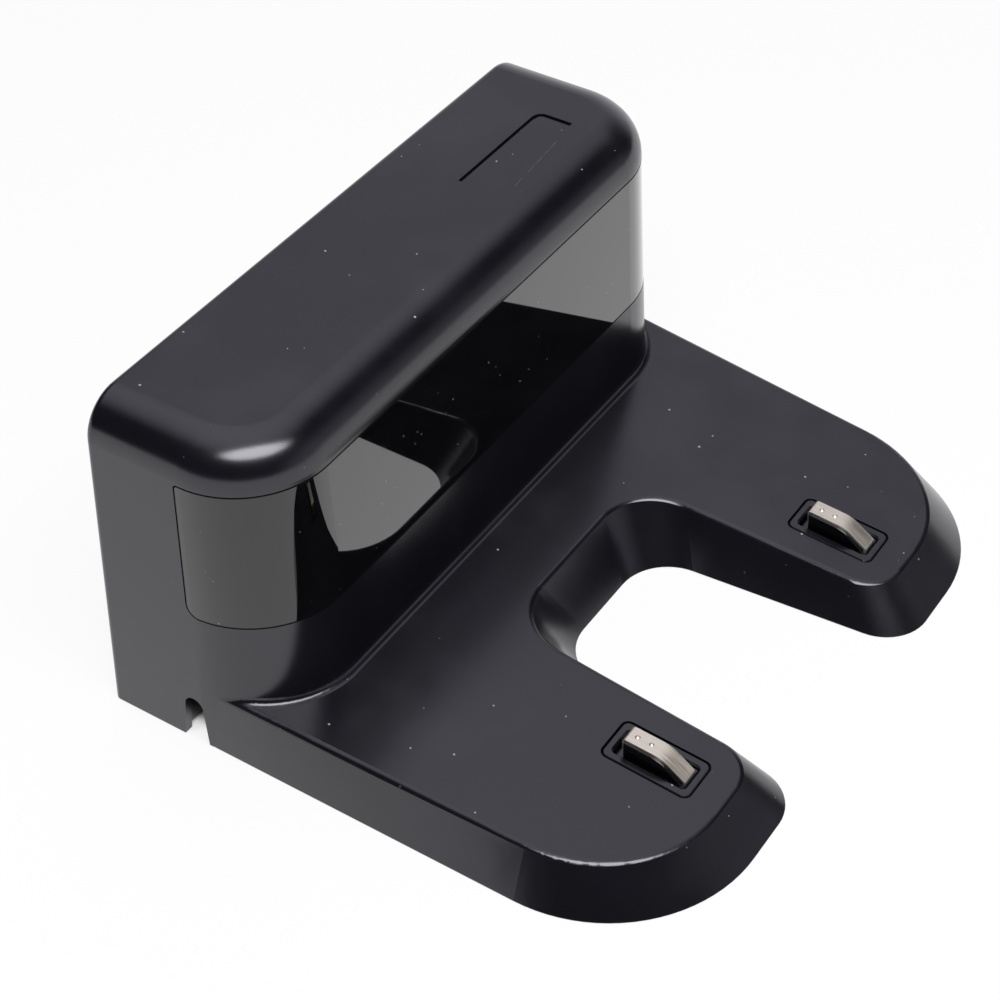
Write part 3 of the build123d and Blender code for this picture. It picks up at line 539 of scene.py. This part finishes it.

# %% [markdown]
# ## Contact springs
#
# Under each contact stands a coil spring that shortens by 2.4 mm as a robot presses the strip down. Each
# is wound here once more, in place of the CAD spring, with a closed coil at either end. It stays where
# the CAD spring is.
#
# The line up the middle of the wire comes first. It climbs by one wire's thickness in a closed turn,
# and shares the rest of the height among the open ones.

# %% Wind the wire
wire_radius = 0.0002
wire_thickness = 2 * wire_radius
closed_turns = 1
open_turns = 5
steps_per_turn = 28


def coil_points(low, high):
    """Points up the middle of the wire, for a spring that fills the box from low to high."""
    middle = (low + high) / 2
    radius = (high.x - low.x) / 2 - wire_radius
    climb = high.z - low.z - wire_thickness
    open_climb = (climb - 2 * closed_turns * wire_thickness) / open_turns
    points = []
    for step in range((open_turns + 2 * closed_turns) * steps_per_turn + 1):
        turns = step / steps_per_turn
        climbed = wire_thickness * min(turns, closed_turns)
        climbed += open_climb * min(max(turns - closed_turns, 0), open_turns)
        climbed += wire_thickness * max(turns - closed_turns - open_turns, 0)
        around = Matrix.Rotation(2 * pi * turns, 3, "Z") @ Vector((radius, 0, 0))
        points.append((middle.x + around.x, middle.y + around.y, low.z + wire_radius + climbed))
    return points


print("turns:", open_turns + 2 * closed_turns)

# %% [markdown]
# A curve with a round bevel makes a wire out of that line, with capped ends. It is turned into a mesh at
# once.


def coil_mesh(points):
    """Mesh of a wire along the points."""
    line = bpy.data.curves.new("coil line", "CURVE")
    line.dimensions = "3D"
    line.bevel_depth = wire_radius
    line.bevel_resolution = 3
    line.use_fill_caps = True
    spline = line.splines.new("POLY")
    spline.points.add(len(points) - 1)
    for point, spot in zip(spline.points, points):
        point.co = (*spot, 1.0)
    holder = bpy.data.objects.new("coil line", line)
    mesh = bpy.data.meshes.new_from_object(holder)
    bpy.data.objects.remove(holder)
    mesh.materials.clear()
    mesh.materials.append(wire_steel)
    mesh.shade_smooth()
    return mesh


for side in ("left", "right"):
    cad_name = "contact_spring_" + side
    low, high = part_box(cad_name)
    spring = bpy.data.objects.new("coil_spring_" + side, coil_mesh(coil_points(low, high)))
    scene.collection.objects.link(spring)
    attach(spring, "dock")
    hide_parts(cad_name)
    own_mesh(spring)

# %% [markdown]
# ## Floor
#
# The dock stands on a white sweep that the camera, and every mirror in the dock, sees as plain white.
# Light Path tells those rays apart from the ones that light the dock, so the floor can be white to the
# eye while the lamps stay at a plain level. A small share of true diffuse white keeps a soft shadow.

# %% Floor sheet
floor_half = 2.5

floor_mesh = bpy.data.meshes.new("floor")
corners = [(x, y, 0.0) for x, y in ((-1, -1), (1, -1), (1, 1), (-1, 1))]
floor_mesh.from_pydata([Vector(c) * floor_half for c in corners], [], [(0, 1, 2, 3)])
floor = bpy.data.objects.new("floor", floor_mesh)
scene.collection.objects.link(floor)
print("floor:", 2 * floor_half, "m across")

# %% [markdown]
# The white must end where real light doesn't reach. An Ambient Occlusion node takes it away within a
# centimetre of the dock's foot, where a contact shadow lies. Under the tower it is off altogether, a
# little way in from the walls, so that each cord notch looks into the dark.

# %% Where the floor is dark
shadow_reach = 0.012
side_inset = 0.003
back_inset = 0.002
side_blur = 0.003
back_blur = 0.002
front_blur = 0.001
tower_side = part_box("main_housing")[1].x - side_inset
tower_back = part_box("main_housing")[1].y - back_inset
tower_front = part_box("front_window")[0].y


def clear_of_dock(tree):
    """Mask of the floor that isn't close to the dock's foot."""
    open_air = tree.nodes.new("ShaderNodeAmbientOcclusion")
    open_air.samples = 4
    open_air.inputs["Distance"].default_value = shadow_reach
    return ramp(tree, open_air.outputs["AO"], low=0.05, high=0.35)


def outside_tower(tree):
    """Mask of the floor that isn't under the tower."""
    spot = add_node(tree, "ShaderNodeSeparateXYZ", Vector=surface_place(tree)).outputs
    across = math_node(tree, "ABSOLUTE", spot["X"])
    beside = ramp(tree, across, tower_side - side_blur, tower_side)
    before = ramp(tree, spot["Y"], tower_front - front_blur, tower_front, out_low=1.0, out_high=0.0)
    behind = ramp(tree, spot["Y"], tower_back - back_blur, tower_back)
    return math_node(tree, "MAXIMUM", beside, math_node(tree, "MAXIMUM", before, behind))


print("dark under the tower:", round(2000 * tower_side, 1), "mm across")

# %% [markdown]
# From beneath, a sheet like this hides the dock's underside and shuts out all light from it. Backfacing
# finds the rays that come from there, and the sheet lets them through. Transparent Depth counts how often
# a ray has been let through, so its light also finds the sheet open on the way back.

# %% Floor white
shadow_share = 0.12

floor_white = bpy.data.materials.new("floor white")
floor_white.use_nodes = True
tree = floor_white.node_tree
tree.nodes.clear()
rays = add_node(tree, "ShaderNodeLightPath").outputs
seen = math_node(tree, "MAXIMUM", rays["Is Camera Ray"], rays["Is Glossy Ray"])
seen = math_node(tree, "MAXIMUM", seen, rays["Is Transmission Ray"])
seen = math_node(tree, "MULTIPLY", seen, clear_of_dock(tree))
seen = math_node(tree, "MULTIPLY", seen, outside_tower(tree))
diffuse = add_node(tree, "ShaderNodeBsdfDiffuse", Color=grey(0.9))
glow = add_node(tree, "ShaderNodeEmission", Color=grey(1.0), Strength=1.0)
mixed = add_node(tree, "ShaderNodeMixShader", Fac=math_node(tree, "MULTIPLY", seen, 1 - shadow_share))
tree.links.new(diffuse.outputs[0], mixed.inputs[1])
tree.links.new(glow.outputs[0], mixed.inputs[2])
clear = add_node(tree, "ShaderNodeBsdfTransparent")
beneath = add_node(tree, "ShaderNodeNewGeometry").outputs["Backfacing"]
been_through = math_node(tree, "MINIMUM", rays["Transparent Depth"], 1.0)
two_sided = add_node(tree, "ShaderNodeMixShader", Fac=math_node(tree, "MAXIMUM", beneath, been_through))
tree.links.new(mixed.outputs[0], two_sided.inputs[1])
tree.links.new(clear.outputs[0], two_sided.inputs[2])
output = tree.nodes.new("ShaderNodeOutputMaterial")
tree.links.new(two_sided.outputs[0], output.inputs["Surface"])
floor_mesh.materials.append(floor_white)
print("floor material:", floor_white.name)

# %% [markdown]
# ## Overhead softbox
#
# One broad lamp hangs over the dock's front left corner, as a softbox does in a product studio. It is an
# ellipse, because its reflection in the rounded edges of the roof then fades at its ends. Its strength
# is low, so that a colour renders about as it is written.

# %% Overhead lamp
aimed_at = Vector((0, 0, 0.03))

overhead_data = bpy.data.lights.new("overhead softbox", "AREA")
overhead_data.shape = "ELLIPSE"
overhead_data.size = 1.15
overhead_data.size_y = 0.5
overhead_data.energy = 12.0
overhead = bpy.data.objects.new("overhead softbox", overhead_data)
scene.collection.objects.link(overhead)
overhead.location = (-0.34, -0.4, 1.0)
overhead.rotation_euler = (aimed_at - overhead.location).to_track_quat("-Z", "Y").to_euler()
print("lamp:", overhead.name, overhead_data.energy, "W")

# %% [markdown]
# ## Room
#
# Black plastic has no tone of its own: what shows on it is the room. So the room is built from soft
# glows, each strongest in one direction. The ceiling lies on the roof and the prongs, the white sweep
# behind pales the far edges, and a dim wall in front keeps the skirt from going quite black. A glow from
# below lights the underside when the dock is looked at from beneath, and otherwise the floor hides it.
# The camera itself sees the room as plain white, like the paper of the sweep.

# %% Room
room_colour = (0.96, 0.95, 1.04, 1.0)
room_dark = 0.02

world = bpy.data.worlds.new("studio")
scene.world = world
world.use_nodes = True
tree = world.node_tree
looking = add_node(tree, "ShaderNodeTexCoord").outputs["Generated"]


def room_glow(direction, reach, strength):
    """Soft light from one direction of the room, none further off than reach, a cosine."""
    along = vector_node(tree, "DOT_PRODUCT", looking, Vector(direction).normalized())["Value"]
    return ramp(tree, along, reach, 1.0, out_low=0.0, out_high=strength)


glows = {
    "ceiling": room_glow((0.2, 0.25, 0.95), reach=0.65, strength=1.0),
    "sweep": room_glow((0.88, 0.45, -0.1), reach=0.68, strength=1.0),
    "front wall": room_glow((0.35, -0.92, -0.15), reach=0.68, strength=0.4),
    "below": room_glow((0.0, 0.0, -1.0), reach=0.1, strength=0.8),
}
light, *other_glows = glows.values()
for glow in other_glows:
    light = math_node(tree, "ADD", light, glow)
light = math_node(tree, "ADD", light, room_dark)
watched = add_node(tree, "ShaderNodeLightPath").outputs["Is Camera Ray"]
sky = tree.nodes["Background"]
sky.inputs["Color"].default_value = room_colour
tree.links.new(math_node(tree, "MAXIMUM", light, watched), sky.inputs["Strength"])
print("room glows:", ", ".join(glows))
